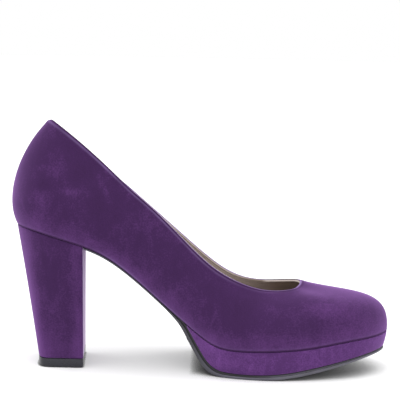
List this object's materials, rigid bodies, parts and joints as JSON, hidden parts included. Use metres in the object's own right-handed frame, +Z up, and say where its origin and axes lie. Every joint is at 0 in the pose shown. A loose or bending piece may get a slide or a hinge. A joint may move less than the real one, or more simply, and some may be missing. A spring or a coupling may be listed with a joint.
{
  "type": "suede platform pump",
  "caption": "Plain suede pump with a covered block heel and a slim covered platform, open at the topline, made as a lasted upper on separate sole, platform, heel and insole.",
  "frame": {"origin": "middle of the shoe's footprint box, on the floor", "axes": "+X from the heel to the toe, +Y to the wearer's outer side, +Z up"},
  "size_m": [0.2354, 0.0792, 0.1539],
  "materials": {
    "upper_suede": "napped suede",
    "platform_suede": "napped suede",
    "heel_suede": "napped suede",
    "sock_lining": "smooth lining leather",
    "sole_rubber": "matt moulded rubber",
    "lift_rubber": "satin moulded rubber"
  },
  "bodies": {
    "root": {"upper": "upper_suede", "insole": "sock_lining", "platform": "platform_suede", "outsole": "sole_rubber", "heel": "heel_suede", "heel_top_piece": "lift_rubber"}
  },
  "joints": []
}
